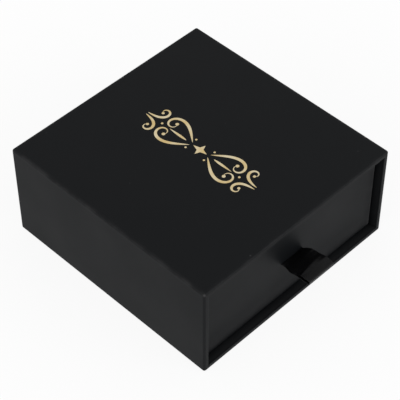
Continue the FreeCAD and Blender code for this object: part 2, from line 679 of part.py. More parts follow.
def make_drawer_stays():
    """Gummed tape folded round the four upright edges."""
    run = DRAWER_HEIGHT + " - 2 * stay_end_gap"
    strip = angle_strip("drawer_upright_stay", "drawer_stay_leg", run, DRAWER_ROUND,
                        FreeCAD.Rotation(), TRAY_LEFT + " - stay_tape",
                        TRAY_FRONT + " - stay_tape", DRAWER_BOTTOM + " + stay_end_gap")
    middle = DRAWER_FRONT + " + " + DRAWER_LENGTH + " / 2"
    stays = mirrored_set("drawer_corner_stays", strip, (("x", "0"), ("y", middle)))
    DRAWER_NODES.append(stays)
    return stays


def make_drawer_wrap(boards, stays):
    """The black paper: outside, over the rim and down the walls' insides."""
    body = block("drawer_wrap_form", DRAWER_WIDTH, DRAWER_LENGTH, DRAWER_HEIGHT,
                 DRAWER_LEFT, DRAWER_FRONT, DRAWER_BOTTOM)
    round_edges(body, DRAWER_WRAP_ROUND, ALL_EDGES)
    inside = sketch_on(body, "drawer_inside", "XY_Plane", DRAWER_HEIGHT)
    draw_rectangle(inside, DRAWER_WIDTH + " - 2 * " + DRAWER_WALL,
                   DRAWER_LENGTH + " - 2 * " + DRAWER_WALL, DRAWER_WALL, DRAWER_WALL)
    cut_pocket(body, inside, "_inside", DRAWER_HEIGHT + " - drawer_board - wrap_paper")
    wall = size("drawer_board")
    round_rim(body, "top",
              lambda b: ((b.XMin + wall, b.XMax - wall), (b.YMin + wall, b.YMax - wall),
                         (b.ZMin, b.ZMax + 1)))
    cut_ribbon_slit(body, DRAWER_LEFT, DRAWER_BOTTOM, DRAWER_WALL, "_slit")
    core = fuse("drawer_core", boards + [stays])
    DRAWER_NODES.append(cut("drawer_wrap", body, core))


def make_drawer_base_liner():
    """The paper sheet on the drawer's floor, inside the walls' papers."""
    DRAWER_NODES.append(
        block("drawer_base_liner", DRAWER_WIDTH + " - 2 * " + DRAWER_WALL,
              DRAWER_LENGTH + " - 2 * " + DRAWER_WALL, "liner_paper",
              DRAWER_LEFT + " + " + DRAWER_WALL, DRAWER_FRONT + " + " + DRAWER_WALL,
              TRAY_WALL_BOTTOM))


# an arc takes at most this share of each run beside it, so that two arcs fit on one run
MOST_OF_A_RUN = 0.49


def offset_line(points, distance):
    """A bent line's corner points, moved to its left by a distance."""
    moved = []
    for index, point in enumerate(points):
        normals = []
        for start, end in ((index - 1, index), (index, index + 1)):
            if 0 <= start and end < len(points):
                along = (points[end] - points[start]).normalize()
                normals.append(Vector(0, -along.z, along.y))
        if len(normals) == 1:
            moved.append(point + normals[0] * distance)
        else:
            middle = (normals[0] + normals[1]).normalize()
            moved.append(point + middle * (distance / middle.dot(normals[0])))
    return moved


def turn_at(points, index):
    """1 where a bent line turns left at a corner, -1 where it turns right."""
    before = points[index] - points[index - 1]
    after = points[index + 1] - points[index]
    return 1 if before.y * after.z - before.z * after.y > 0 else -1


def radius_that_fits(points, index, radius):
    """A corner's radius, no larger than the runs beside it leave room for."""
    back = points[index - 1] - points[index]
    ahead = points[index + 1] - points[index]
    room = MOST_OF_A_RUN * min(back.Length, ahead.Length)
    return min(radius, room * math.tan(back.getAngle(ahead) / 2))


def rounded_line(points, radii):
    """Straight runs joined by tangent arcs of the given radii."""
    edges = []
    start = points[0]
    for index in range(1, len(points) - 1):
        corner = points[index]
        back = (points[index - 1] - corner).normalize()
        ahead = (points[index + 1] - corner).normalize()
        half_angle = back.getAngle(ahead) / 2
        reach = radii[index] / math.tan(half_angle)
        middle = (back + ahead).normalize()
        centre = corner + middle * (radii[index] / math.sin(half_angle))
        arc_start = corner + back * reach
        arc_end = corner + ahead * reach
        arc_middle = centre - middle * radii[index]
        edges.append(Part.LineSegment(start, arc_start).toShape())
        edges.append(Part.Arc(arc_start, arc_middle, arc_end).toShape())
        start = arc_end
    edges.append(Part.LineSegment(start, points[-1]).toShape())
    return edges


def make_ribbon_pull():
    """A satin loop: two layers through the slit, an arched upper layer, a folded end
    and a lower layer that comes back under it. Its tails lie up and down inside."""
    thickness = size("ribbon_thickness")
    clearance = size("ribbon_clearance")
    layer = (size("ribbon_layer_gap") + thickness) / 2
    wall = measure("drawer_wall", DRAWER_WALL)
    upper_tail = measure("upper_tail", UPPER_TAIL)
    lower_tail = measure("lower_tail", LOWER_TAIL)
    reach = size("ribbon_reach")
    crest = size("ribbon_crest_reach")
    tail_bend = 2 * clearance + thickness / 2
    tail_y = wall + clearance + thickness / 2
    tip_top = size("ribbon_tip_rise")
    tip_low = tip_top - size("ribbon_fold")
    tip_bend = size("ribbon_fold_radius") + thickness / 2
    straight = size("ribbon_straight")
    mouth_bend = size("ribbon_mouth_radius")
    # the corner points run from the upper tail, out along the upper layer, round the
    # fold and back in along the lower layer, in the plane of Y and Z
    corners = (
        (tail_y, upper_tail, 0.0),
        (tail_y, layer, tail_bend),
        (-straight, layer, mouth_bend),
        (-crest, size("ribbon_crest_rise"), size("ribbon_crest_radius")),
        (-reach + thickness / 2, tip_top, tip_bend),
        (-reach + thickness / 2, tip_low, tip_bend),
        (-crest, -layer - size("ribbon_sag"), size("ribbon_belly_radius")),
        (-straight, -layer, mouth_bend),
        (tail_y, -layer, tail_bend),
        (tail_y, -lower_tail, 0.0),
    )
    points = [Vector(0, y, z) for y, z, radius in corners]
    sides = []
    for distance in (thickness / 2, -thickness / 2):
        radii = []
        for index, (y, z, radius) in enumerate(corners):
            if 0 < index < len(corners) - 1:
                radius = radius_that_fits(points, index, radius)
                radius -= turn_at(points, index) * distance
            radii.append(radius)
        sides.append(rounded_line(offset_line(points, distance), radii))
    caps = [Part.LineSegment(sides[0][end].Vertexes[end].Point,
                             sides[1][end].Vertexes[end].Point).toShape() for end in (0, -1)]
    profile = Part.Face(Part.Wire(Part.sortEdges(sides[0] + sides[1] + caps)[0]))
    width = size("ribbon_width")
    profile.translate(Vector(-width, 0, 0))
    strip = profile.extrude(Vector(2 * width, 0, 0))
    ribbon = doc.addObject("Part::Feature", "ribbon_pull")
    ribbon.Label = "ribbon_pull"
    tallest = max(upper_tail, lower_tail) + 1
    ribbon.Shape = strip.common(ribbon_outline(tail_y + thickness, tallest))
    place(ribbon, "ribbon_offset", DRAWER_FRONT, SLIT_LEVEL)
    DRAWER_NODES.append(ribbon)


def ribbon_outline(inner_end, depth):
    """The ribbon's shape from above, gathered in the slit and open outside it, as a
    tall prism that the bent strip is trimmed to."""
    half = size("ribbon_width") / 2
    neck = (size("ribbon_width") - size("ribbon_gather")) / 2
    straight = size("ribbon_straight")
    spread = straight + size("ribbon_spread")
    reach = size("ribbon_reach")
    drift = size("ribbon_drift")
    early = drift * spread / reach
    outline = (
        (-neck, inner_end), (-neck, -straight),
        (-half + early, -spread), (-half + drift, -reach - 1),
        (half + drift, -reach - 1), (half + early, -spread),
        (neck, -straight), (neck, inner_end),
    )
    points = [Vector(x, y, -depth) for x, y in outline]
    face = Part.Face(Part.makePolygon(points + points[:1]))
    return face.extrude(Vector(0, 0, 2 * depth))


def make_ribbon_patch():
    """The paper patch glued inside the drawer front over the ribbon's tails."""
    width = SLIT_WIDTH + " + 2 * patch_margin"
    body = block("ribbon_anchor_patch", width, PATCH_RECESS + " + patch_paper", PATCH_HEIGHT,
                 "ribbon_offset - (" + width + ") / 2", DRAWER_FRONT + " + " + DRAWER_WALL,
                 PATCH_BOTTOM)
    recess = sketch_on(body, "ribbon_patch_recess", "XZ_Plane")
    draw_rectangle(recess, SLIT_WIDTH, PATCH_HEIGHT + " - 2 * patch_margin",
                   "patch_margin", "patch_margin")
    cut_pocket(body, recess, "_recess", PATCH_RECESS)
    DRAWER_NODES.append(body)


# ---------------------------------------------------------------------------
# Build, check and write
# ---------------------------------------------------------------------------

sleeve_boards = make_sleeve_boards()
sleeve_stays = make_sleeve_stays()
make_sleeve_wrap(sleeve_boards, sleeve_stays)
make_sleeve_papers()
make_foil_ornament()
drawer_boards = make_drawer_boards()
drawer_stays = make_drawer_stays()
make_drawer_wrap(drawer_boards, drawer_stays)
make_drawer_base_liner()
make_ribbon_pull()
make_ribbon_patch()
doc.recompute()

for thing in doc.Objects:
    faults = [state for state in thing.State if state in ("Invalid", "Error")]
    assert not faults, "%s is %s" % (thing.Name, faults)

nodes = SLEEVE_NODES + DRAWER_NODES
for node in nodes:
    assert not node.Shape.isNull() and node.Shape.isValid(), node.Label
    assert node.Shape.Solids, node.Label

os.makedirs("parts", exist_ok=True)
for node in nodes:
    node.Shape.exportStep("parts/%s.step" % node.Label)
    bounds = node.Shape.BoundBox
    print("%-22s solids %2d  volume %10.2f  x %7.2f..%6.2f  y %7.2f..%6.2f  z %6.2f..%6.2f" % (
        node.Label, len(node.Shape.Solids), node.Shape.Volume, bounds.XMin, bounds.XMax,
        bounds.YMin, bounds.YMax, bounds.ZMin, bounds.ZMax))
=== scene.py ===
import math
from functools import reduce

import bmesh
import bpy
from mathutils import Matrix, Vector, noise

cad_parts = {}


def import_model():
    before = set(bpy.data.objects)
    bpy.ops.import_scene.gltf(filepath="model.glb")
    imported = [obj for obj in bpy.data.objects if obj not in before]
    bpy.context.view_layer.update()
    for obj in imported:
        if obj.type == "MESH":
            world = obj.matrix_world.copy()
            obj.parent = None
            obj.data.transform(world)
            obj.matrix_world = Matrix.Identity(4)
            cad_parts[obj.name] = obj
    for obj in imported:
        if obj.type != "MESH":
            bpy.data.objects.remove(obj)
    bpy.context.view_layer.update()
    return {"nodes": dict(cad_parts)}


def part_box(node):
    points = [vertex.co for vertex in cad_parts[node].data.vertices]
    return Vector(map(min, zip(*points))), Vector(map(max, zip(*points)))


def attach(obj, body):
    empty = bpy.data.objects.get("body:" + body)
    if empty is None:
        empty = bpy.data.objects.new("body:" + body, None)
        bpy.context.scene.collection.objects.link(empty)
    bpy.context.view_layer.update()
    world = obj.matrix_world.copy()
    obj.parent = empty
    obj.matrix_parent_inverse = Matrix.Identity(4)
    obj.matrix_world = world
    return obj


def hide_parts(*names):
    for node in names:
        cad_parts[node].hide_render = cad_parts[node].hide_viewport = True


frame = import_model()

NODES = frame["nodes"]
MM = 0.001


# ---------------------------------------------------------------------------
# Node trees
# ---------------------------------------------------------------------------

class Nodes:
    """A node tree, with a short call for each kind of node that is used more than once."""

    def __init__(self, tree):
        self.tree = tree

    def node(self, kind, inputs=None, **settings):
        """A new node. Its inputs go by name or number, its settings are its properties."""
        made = self.tree.nodes.new(kind)
        for key, value in settings.items():
            setattr(made, key, value)
        for socket, value in (inputs or {}).items():
            self.feed(made.inputs[socket], value)
        return made

    def feed(self, socket, value):
        """Links an output into a socket, or sets a plain value on it."""
        if isinstance(value, bpy.types.NodeSocket):
            self.tree.links.new(value, socket)
        else:
            socket.default_value = value

    def math(self, operation, *values):
        made = self.node("ShaderNodeMath", dict(enumerate(values)), operation=operation)
        return made.outputs[0]

    def chain(self, operation, values):
        """One operation over several values, from the first to the last."""
        return reduce(lambda total, value: self.math(operation, total, value), values)

    def add(self, *values):
        return self.chain("ADD", values)

    def multiply(self, *values):
        return self.chain("MULTIPLY", values)

    def least(self, *values):
        return self.chain("MINIMUM", values)

    def most(self, *values):
        return self.chain("MAXIMUM", values)

    def weighted(self, *parts):
        """The sum of (value, weight) pairs, added from the last to the first."""
        terms = [self.multiply(value, weight) for value, weight in parts]
        return reduce(lambda total, term: self.add(term, total), reversed(terms))

    def span(self, value, source, target=(0.0, 1.0)):
        """Maps the source range to the target range and clamps it."""
        made = self.node("ShaderNodeMapRange", dict(enumerate((value, *source, *target))))
        return made.outputs[0]


class Finish(Nodes):
    """A node material. Sockets that are the same all over are set on its shader."""

    def __init__(self, name, **sockets):
        self.material = bpy.data.materials.new(name)
        self.material.use_nodes = True
        super().__init__(self.material.node_tree)
        self.shader = self.tree.nodes["Principled BSDF"]
        for socket, value in sockets.items():
            self.shader.inputs[socket.replace("_", " ")].default_value = value
        self.place = self.node("ShaderNodeTexCoord").outputs["Object"]

    def noise(self, size, detail=2.0, roughness=0.5, place=None, stretch=None):
        """Soft noise from 0 to 1, whose patches are about size metres across."""
        source = place or self.place
        if stretch:
            mapping = self.node("ShaderNodeMapping", {"Vector": source, "Scale": stretch})
            source = mapping.outputs[0]
        made = self.node("ShaderNodeTexNoise", {"Vector": source, "Scale": 1 / size,
                                                "Detail": detail, "Roughness": roughness})
        return made.outputs["Fac"]

    def dots(self, spacing, radii):
        """1 on scattered dots about spacing metres apart, falling to 0 over the radii,
        which are shares of the spacing."""
        made = self.node("ShaderNodeTexVoronoi", {"Vector": self.place, "Scale": 1 / spacing})
        return self.span(made.outputs["Distance"], radii, FALLING)

    def blend(self, share, first, second):
        """The first colour, turned into the second by a share."""
        first, second = (colour if isinstance(colour, bpy.types.NodeSocket) else (*colour, 1.0)
                         for colour in (first, second))
        made = self.node("ShaderNodeMix", {"Factor": share, "A": first, "B": second},
                         data_type="RGBA")
        return made.outputs["Result"]

    def colour(self, value):
        self.feed(self.shader.inputs["Base Color"], value)

    def rough(self, value):
        self.feed(self.shader.inputs["Roughness"], value)

    def bump(self, *layers):
        """Heights of (value, distance in metres, strength), one on another."""
        normal = None
        for value, distance, strength in layers:
            inputs = {"Height": value, "Distance": distance, "Strength": strength}
            if normal:
                inputs["Normal"] = normal
            normal = self.node("ShaderNodeBump", inputs).outputs["Normal"]
        self.feed(self.shader.inputs["Normal"], normal)

    def axes(self):
        """The place's X, Y and Z."""
        return self.node("ShaderNodeSeparateXYZ", {0: self.place}).outputs

    def side_shares(self, low, high, reach):
        """For X, Y and Z: 1 on a box's sides, falling to 0 at reach inside them."""
        shares = []
        for value, first, last in zip(self.axes(), low, high):
            out = self.math("ABSOLUTE", self.math("SUBTRACT", value, (first + last) / 2))
            half = (last - first) / 2
            shares.append(self.span(out, (half - reach, half)))
        return shares

    def edge_share(self, low, high, reach, weights=(1.0, 1.0, 1.0)):
        """1 on the outer edges of a box, falling to 0 at reach from them, times a weight
        for the edges along Z, along X and along Y."""
        x, y, z = self.side_shares(low, high, reach)
        return self.most(*(self.multiply(self.least(first, second), weight)
                           for first, second, weight in zip((x, y, x), (y, z, z), weights)))

    def corner_share(self, low, high, reach):
        """1 on the corners of a box, falling to 0 at reach from them."""
        return self.least(*self.side_shares(low, high, reach))


FALLING = (1.0, 0.0)
NOISE_MOST = (0.35, 0.65)   # where most of a noise's values lie
NOISE_ALL = (0.3, 0.7)      # where nearly all of them lie


# ---------------------------------------------------------------------------
# Black laminated paper, in metres. Pairs of depths run inward from the outside of the
# sleeve or the drawer, and are where a share starts and ends.
# ---------------------------------------------------------------------------

WRAP_IOR = 1.193
WRAP_DARK = (0.0023, 0.0028, 0.0035)
WRAP_LIGHT = (0.0027, 0.0033, 0.0040)
# a lighter paper for rubbed edges, also used for painted highlight and painted light
WRAP_WEAR_AND_PAINTED_LIGHT = (0.030, 0.030, 0.031)
WRAP_CORNER = (0.060, 0.060, 0.060)
WRAP_DUST = (0.12, 0.12, 0.12)
WRAP_ROUGH = (0.505, 0.585)
WORN_ROUGHER = 0.12         # what the worn edges add to the roughness

# rubbed edges, narrow and ragged; broad, patchy edge bands that are partly rubbing and partly
# painted highlight, weighted by the edge's direction; rubbed corners; and dust
SHARP_EDGE = 0.0007
SHARP_EDGE_GAPS = (0.42, 0.66)
SHARP_EDGE_SHARE = 0.3
SOFT_EDGE = 0.0016
SOFT_EDGE_WEIGHTS = (0.1, 0.35, 1.0)    # along Z, along X and along Y
SOFT_EDGE_GAPS = (0.38, 0.62)
SOFT_EDGE_SWING = (0.4, 1.25)
SOFT_EDGE_HIGHLIGHT_SHARE = 0.5
CORNER = 0.001
DUST_SPACING = 0.008
DUST_RADII = (0.0, 0.04)    # in shares of the spacing
DUST_CLOUDS = (0.48, 0.58)
DUST_SHARE = 0.7

# the sleeve's mouth: the inner faces of its walls, and how far in the painted light reaches,
# lightest at the mouth and fading where shade falls deeper in
MOUTH_WALL = (0.0019, 0.0022)
MOUTH_START = (0.0002, 0.0009)
MOUTH_FADE = (0.0007, 0.0042)
MOUTH_SHARE = 0.33
MOUTH_FLOOR_END = (0.003, 0.006)
MOUTH_WALL_WEIGHT = 0.65

# the drawer's face, and how far the painted light reaches from its foot and its right side, where
# it lightens the shade beside the sleeve's floor and wall
FACE_DEPTH = (0.0002, 0.0008)
FOOT_SLANT = 0.004          # in height per length across
FOOT_START = (0.0009, 0.0027)
FOOT_START_WEIGHT = 0.12
FOOT_FADE = (0.0, 0.009)
FOOT_SHARE = 0.55
SIDE_FADE = (0.011, 0.001)
SIDE_POWER = 2.0
SIDE_SHARE = 0.55
SIDE_END = (0.0019, 0.0006)
SIDE_END_SHARE = 0.45
FACE_SWING = (0.75, 1.1)


def after(side, depths):
    """Places at given depths inside a box's lower side."""
    return [side + depth for depth in depths]


def before(side, depths):
    """Places at given depths inside a box's upper side."""
    return [side - depth for depth in depths]


def mouth_painted_light(finish, low, high):
    """Painted light just inside the sleeve's mouth, lightest near the mouth and fading inward
    where shade falls, on the floor and less on the walls.
    """
    across, along, up = finish.axes()
    inside = finish.least(
        finish.span(finish.math("ABSOLUTE", across), before(high.x, MOUTH_WALL)),
        finish.span(up, after(low.z, MOUTH_WALL)),
        finish.span(up, before(high.z, MOUTH_WALL)))
    share = finish.multiply(
        finish.span(along, after(low.y, MOUTH_START)),
        finish.span(along, after(low.y, MOUTH_FADE), (MOUTH_SHARE, 0.0)))
    weight = finish.span(up, after(low.z, MOUTH_FLOOR_END), (1.0, MOUTH_WALL_WEIGHT))
    return finish.multiply(inside, share, weight)


def face_painted_light(finish, low, high):
    """Painted light on the drawer's face along its foot and its right side, which lightens the
    shade beside the sleeve's floor and wall.
    """
    across, along, up = finish.axes()
    face = finish.span(along, after(low.y, FACE_DEPTH), FALLING)
    slanted = finish.add(up, finish.multiply(across, FOOT_SLANT))
    foot = finish.multiply(
        finish.span(slanted, after(low.z, FOOT_START), (FOOT_START_WEIGHT, 1.0)),
        finish.span(up, after(low.z, FOOT_FADE), (FOOT_SHARE, 0.0)))
    nearer = finish.math("POWER", finish.span(across, before(high.x, SIDE_FADE)), SIDE_POWER)
    right = finish.add(
        finish.multiply(nearer, SIDE_SHARE),
        finish.span(across, before(high.x, SIDE_END), (0.0, SIDE_END_SHARE)))
    uneven = finish.span(finish.noise(size=0.005, detail=3.0, roughness=0.6),
                         NOISE_MOST, FACE_SWING)
    return finish.multiply(face, uneven, finish.most(foot, right))


def black_wrap(name, node, painted_light):
    """Matt laminated black paper: a faint fibre tooth, soft clouds, rubbed edges, broad edge
    bands of rubbing and painted highlight, paler corners, the painted light that each part is
    given (in the sleeve's mouth, on the drawer's face), and specks of dust."""
    low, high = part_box(node)
    finish = Finish(name, IOR=WRAP_IOR)
    tooth = finish.noise(size=0.00035, detail=4.0, roughness=0.6)
    clouds = finish.noise(size=0.022, detail=3.0, roughness=0.55)
    swells = finish.noise(size=0.035, detail=1.0)
    mottle = finish.weighted((tooth, 0.35), (clouds, 0.65))
    ragged = finish.span(finish.noise(size=0.0016, detail=4.0, roughness=0.65), SHARP_EDGE_GAPS)
    patchy = finish.span(finish.noise(size=0.0065), SOFT_EDGE_GAPS, SOFT_EDGE_SWING)
    worn = finish.multiply(finish.edge_share(low, high, SHARP_EDGE), ragged)
    # painted highlight: the broad edge bands lighten the edges, most those along Y, partly as
    # rubbing and partly as a painted edge highlight
    broad_rub_and_highlight = finish.multiply(finish.edge_share(low, high, SOFT_EDGE, SOFT_EDGE_WEIGHTS), patchy)
    dusty = finish.multiply(finish.dots(DUST_SPACING, DUST_RADII),
                            finish.span(clouds, DUST_CLOUDS, (0.0, DUST_SHARE)))
    base = finish.blend(finish.span(mottle, NOISE_MOST), WRAP_DARK, WRAP_LIGHT)
    # the narrow edges are wear; the broad edge bands are wear and painted highlight; the part's
    # own share is painted light
    for share, colour in ((finish.multiply(broad_rub_and_highlight, SOFT_EDGE_HIGHLIGHT_SHARE), WRAP_WEAR_AND_PAINTED_LIGHT),
                          (finish.multiply(worn, SHARP_EDGE_SHARE), WRAP_WEAR_AND_PAINTED_LIGHT),
                          (painted_light(finish, low, high), WRAP_WEAR_AND_PAINTED_LIGHT),
                          (finish.corner_share(low, high, CORNER), WRAP_CORNER),
                          (dusty, WRAP_DUST)):
        base = finish.blend(share, base, colour)
    finish.colour(base)
    finish.rough(finish.add(finish.span(mottle, NOISE_ALL, WRAP_ROUGH),
                            finish.multiply(worn, WORN_ROUGHER)))
    finish.bump((swells, 0.0009, 0.25), (tooth, 0.00002, 0.35))
    return finish.material


# ---------------------------------------------------------------------------
# The other materials
# ---------------------------------------------------------------------------

PAPER_IOR = 1.3
LINING_DARK = (0.010, 0.0103, 0.0105)
LINING_LIGHT = (0.018, 0.0185, 0.0188)
LINING_ROUGH = (0.55, 0.7)
CUT_DARK = (0.035, 0.034, 0.033)
CUT_LIGHT = (0.075, 0.073, 0.070)
CUT_ROUGH = (0.7, 0.85)

BOARD_IOR = 1.4
BOARD_DARK = (0.27, 0.255, 0.23)
BOARD_LIGHT = (0.42, 0.40, 0.365)
BOARD_FLECK = (0.13, 0.12, 0.11)
BOARD_CLOUD = (0.33, 0.31, 0.28)
BOARD_ROUGH = (0.8, 0.95)

TAPE_IOR = 1.45
TAPE_DARK = (0.40, 0.27, 0.15)
TAPE_LIGHT = (0.60, 0.45, 0.28)
TAPE_GLUE = (0.34, 0.23, 0.13)
TAPE_ROUGH = (0.45, 0.65)

FOIL_DEEP = (0.58, 0.435, 0.20)
FOIL_PALE = (0.64, 0.555, 0.37)
FOIL_PIT = (0.36, 0.27, 0.13)
FOIL_ROUGH = (0.2, 0.34)

SATIN_IOR = 1.22
SATIN_ANISOTROPY = 0.4
SATIN_DARK = (0.0008, 0.0008, 0.0010)
SATIN_LIGHT = (0.0042, 0.0042, 0.0046)
SATIN_GAP = (0.0005, 0.0005, 0.0006)
SATIN_ROUGH = (0.26, 0.38)
SATIN_FLOATS = {"Scale": 1.0, "Brick Width": 1.1, "Row Height": 0.12, "Mortar Size": 0.018,
                "Mortar Smooth": 1.0}


def black_lining(name):
    """Uncoated black paper with a fine tooth and short fibres."""
    finish = Finish(name, IOR=PAPER_IOR)
    tooth = finish.noise(size=0.00022, detail=5.0, roughness=0.7)
    fibres = finish.noise(size=0.0005, detail=3.0, roughness=0.6, stretch=(1.0, 0.22, 1.0))
    clouds = finish.noise(size=0.012, detail=3.0)
    mottle = finish.weighted((tooth, 0.4), (fibres, 0.3), (clouds, 0.3))
    finish.colour(finish.blend(finish.span(mottle, (0.34, 0.66)), LINING_DARK, LINING_LIGHT))
    finish.rough(finish.span(mottle, NOISE_ALL, LINING_ROUGH))
    finish.bump((tooth, 0.00003, 0.5), (fibres, 0.00002, 0.4))
    return finish.material


def cut_paper(name):
    """The cut edge of black-dyed paper, a little paler than its face."""
    finish = Finish(name, IOR=PAPER_IOR)
    fibres = finish.noise(size=0.0002, detail=4.0, roughness=0.65)
    finish.colour(finish.blend(finish.span(fibres, NOISE_ALL), CUT_DARK, CUT_LIGHT))
    finish.rough(finish.span(fibres, NOISE_ALL, CUT_ROUGH))
    finish.bump((fibres, 0.00002, 0.5))
    return finish.material


def grey_board(name):
    """Recycled greyboard: layered grey fibres with dark flecks and duller clouds."""
    finish = Finish(name, IOR=BOARD_IOR)
    fibres = finish.noise(size=0.0007, detail=5.0, roughness=0.7, stretch=(1.0, 0.3, 1.0))
    clouds = finish.noise(size=0.006, detail=3.0)
    grit = finish.noise(size=0.00015, detail=4.0, roughness=0.7)
    flecks = finish.multiply(finish.dots(0.0016, (0.05, 0.2)), 0.5)
    base = finish.blend(finish.span(fibres, NOISE_ALL), BOARD_DARK, BOARD_LIGHT)
    base = finish.blend(flecks, base, BOARD_FLECK)
    finish.colour(finish.blend(finish.span(clouds, (0.4, 0.7), (0.0, 0.3)), base, BOARD_CLOUD))
    finish.rough(finish.span(fibres, NOISE_ALL, BOARD_ROUGH))
    finish.bump((fibres, 0.00006, 0.6), (grit, 0.00002, 0.5))
    return finish.material


def gummed_tape(name):
    """Brown gummed paper tape with long fibres and a dull glue film."""
    finish = Finish(name, IOR=TAPE_IOR)
    fibres = finish.noise(size=0.0006, detail=4.0, roughness=0.65, stretch=(1.0, 1.0, 0.15))
    clouds = finish.noise(size=0.005, detail=3.0)
    base = finish.blend(finish.span(fibres, NOISE_ALL), TAPE_DARK, TAPE_LIGHT)
    finish.colour(finish.blend(finish.span(clouds, (0.5, 0.7), (0.0, 0.4)), base, TAPE_GLUE))
    finish.rough(finish.span(clouds, NOISE_MOST, TAPE_ROUGH))
    finish.bump((fibres, 0.00003, 0.5))
    return finish.material


def gold_foil(name):
    """Hot-stamped gold foil, pressed into the paper's tooth, a little uneven."""
    finish = Finish(name, Metallic=1.0)
    grain = finish.noise(size=0.0003, detail=4.0, roughness=0.6)
    clouds = finish.noise(size=0.004)
    pits = finish.multiply(finish.dots(0.0009, (0.03, 0.1)), 0.35)
    base = finish.blend(finish.span(clouds, NOISE_MOST), FOIL_DEEP, FOIL_PALE)
    finish.colour(finish.blend(pits, base, FOIL_PIT))
    finish.rough(finish.span(grain, NOISE_ALL, FOIL_ROUGH))
    finish.bump((clouds, 0.00015, 0.3), (grain, 0.00001, 0.5))
    return finish.material


def satin(name):
    """Black satin: long floats along the ribbon, on the weave's own coordinates, which
    are in millimetres."""
    finish = Finish(name, IOR=SATIN_IOR, Anisotropic=SATIN_ANISOTROPY)
    weave = finish.node("ShaderNodeAttribute", attribute_name="weave").outputs["Vector"]
    floats = finish.node("ShaderNodeTexBrick", {"Vector": weave, **SATIN_FLOATS},
                         offset=0.38, offset_frequency=1)
    gaps = floats.outputs["Fac"]
    streaks = finish.noise(size=0.5, detail=3.0, roughness=0.6, place=weave,
                           stretch=(0.25, 4.0, 1.0))
    base = finish.blend(finish.span(streaks, NOISE_MOST), SATIN_DARK, SATIN_LIGHT)
    finish.colour(finish.blend(gaps, base, SATIN_GAP))
    finish.rough(finish.span(streaks, NOISE_ALL, SATIN_ROUGH))
    finish.bump((finish.math("SUBTRACT", 1.0, gaps), 0.00003, 0.5), (streaks, 0.00008, 0.5))
    return finish.material


# ---------------------------------------------------------------------------
# Objects and meshes
# ---------------------------------------------------------------------------

def add_object(name, data):
    obj = bpy.data.objects.new(name, data)
    bpy.context.scene.collection.objects.link(obj)
    return obj


def dress(obj, material):
    obj.data.materials.clear()
    obj.data.materials.append(material)


def piece_from(name, vertices, faces, body, material, smooth=True):
    """A piece of the model from its mesh, riding a body and taking a material slot."""
    mesh = bpy.data.meshes.new(name)
    mesh.from_pydata([tuple(v) for v in vertices], [], faces)
    mesh.validate()
    obj = add_object(name, mesh)
    work = bmesh.new()
    work.from_mesh(mesh)
    bmesh.ops.recalc_face_normals(work, faces=work.faces)
    work.to_mesh(mesh)
    work.free()
    for face in mesh.polygons:
        face.use_smooth = smooth
    dress(obj, material)
    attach(obj, body)
    return obj


def smoothstep(value):
    value = min(max(value, 0.0), 1.0)
    return value * value * (3 - 2 * value)


FEWEST_ARC_STEPS = 4


def straight(first, last, spacing):
    """Even points from one point, left out, to another."""
    steps = max(1, round((last - first).length / spacing))
    return [first.lerp(last, n / steps) for n in range(1, steps + 1)]


def rounded(route, spacing):
    """Points along straight runs and the arcs that round their corners. The route's
    corners are (x, y, radius)."""
    corners = [Vector((x, y)) for x, y, radius in route]
    points = [corners[0]]
    for index in range(1, len(corners) - 1):
        corner = corners[index]
        back = (corners[index - 1] - corner).normalized()
        ahead = (corners[index + 1] - corner).normalized()
        half = back.angle(ahead) / 2
        radius = route[index][2]
        reach = radius / math.tan(half)
        centre = corner + (back + ahead).normalized() * (radius / math.sin(half))
        first = corner + back * reach
        last = corner + ahead * reach
        points.extend(straight(points[-1], first, spacing))
        turn = math.pi - 2 * half
        steps = max(FEWEST_ARC_STEPS, round(radius * turn / spacing))
        start = first - centre
        side = 1 if start.x * (last - centre).y - start.y * (last - centre).x > 0 else -1
        for n in range(1, steps + 1):
            angle = side * turn * n / steps
            swung = Vector((start.x * math.cos(angle) - start.y * math.sin(angle),
                            start.x * math.sin(angle) + start.y * math.cos(angle)))
            points.append(centre + swung)
    points.extend(straight(points[-1], corners[-1], spacing))
    return points


# ---------------------------------------------------------------------------
# The ribbon pull, in millimetres. The slit is in the drawer's face.
# ---------------------------------------------------------------------------

RIBBON_WIDTH = 13.4
RIBBON_NECK = 11.5          # its width where the slit gathers it
RIBBON_THICKNESS = 0.28
RIBBON_REACH = 13.7
RIBBON_DRIFT = 1.3          # how far it leans to the right over its reach
RIBBON_SPREAD = 4.5         # the length over which it opens to its full width
RIBBON_STRAIGHT = 0.8       # the length that the slit holds narrow
RIBBON_OFFSET = 0.45        # right of the face's middle
RIBBON_DROP = 0.85          # below the face's middle
LAYER = 0.2                 # from the slit's middle to each layer's
TAIL_Y = 2.11               # how far behind the face the glued tails stand
ACROSS_STEPS = 30
RUN_STEP = 0.35

# a woven band's section, in shares of its half width and its half thickness
BAND_FULLNESS = 0.86
SELVEDGE_START = 0.88
SELVEDGE_RAMP = 0.08
EDGE_START = 0.975
EDGE_THINNEST = 0.02        # in millimetres

FOLD_EASE = 1.6             # the length over which the upper layer turns into the lower
GATHER_START = 0.1
GATHER_MIDDLE = 1.8
GATHER_SPREAD = 1.6
BROAD_RIPPLE = 0.09
BROAD_WAVES = 3.1
BROAD_PHASE = 0.6
BROAD_TURN = 1.4            # added to the phase on the lower layer
FINE_RIPPLE = 0.05
FINE_WAVES = 5.3
FINE_PHASE = 1.1
CREASE = 0.10
CREASE_ACROSS = 2.1
EDGE_WAVE = 0.10
SOFT_ALONG = 0.35           # how fast creases and edge waves change along the ribbon
CREASE_SEED = 4.0
RIGHT_WAVE_SEED = 7.0
LEFT_WAVE_SEED = 2.0

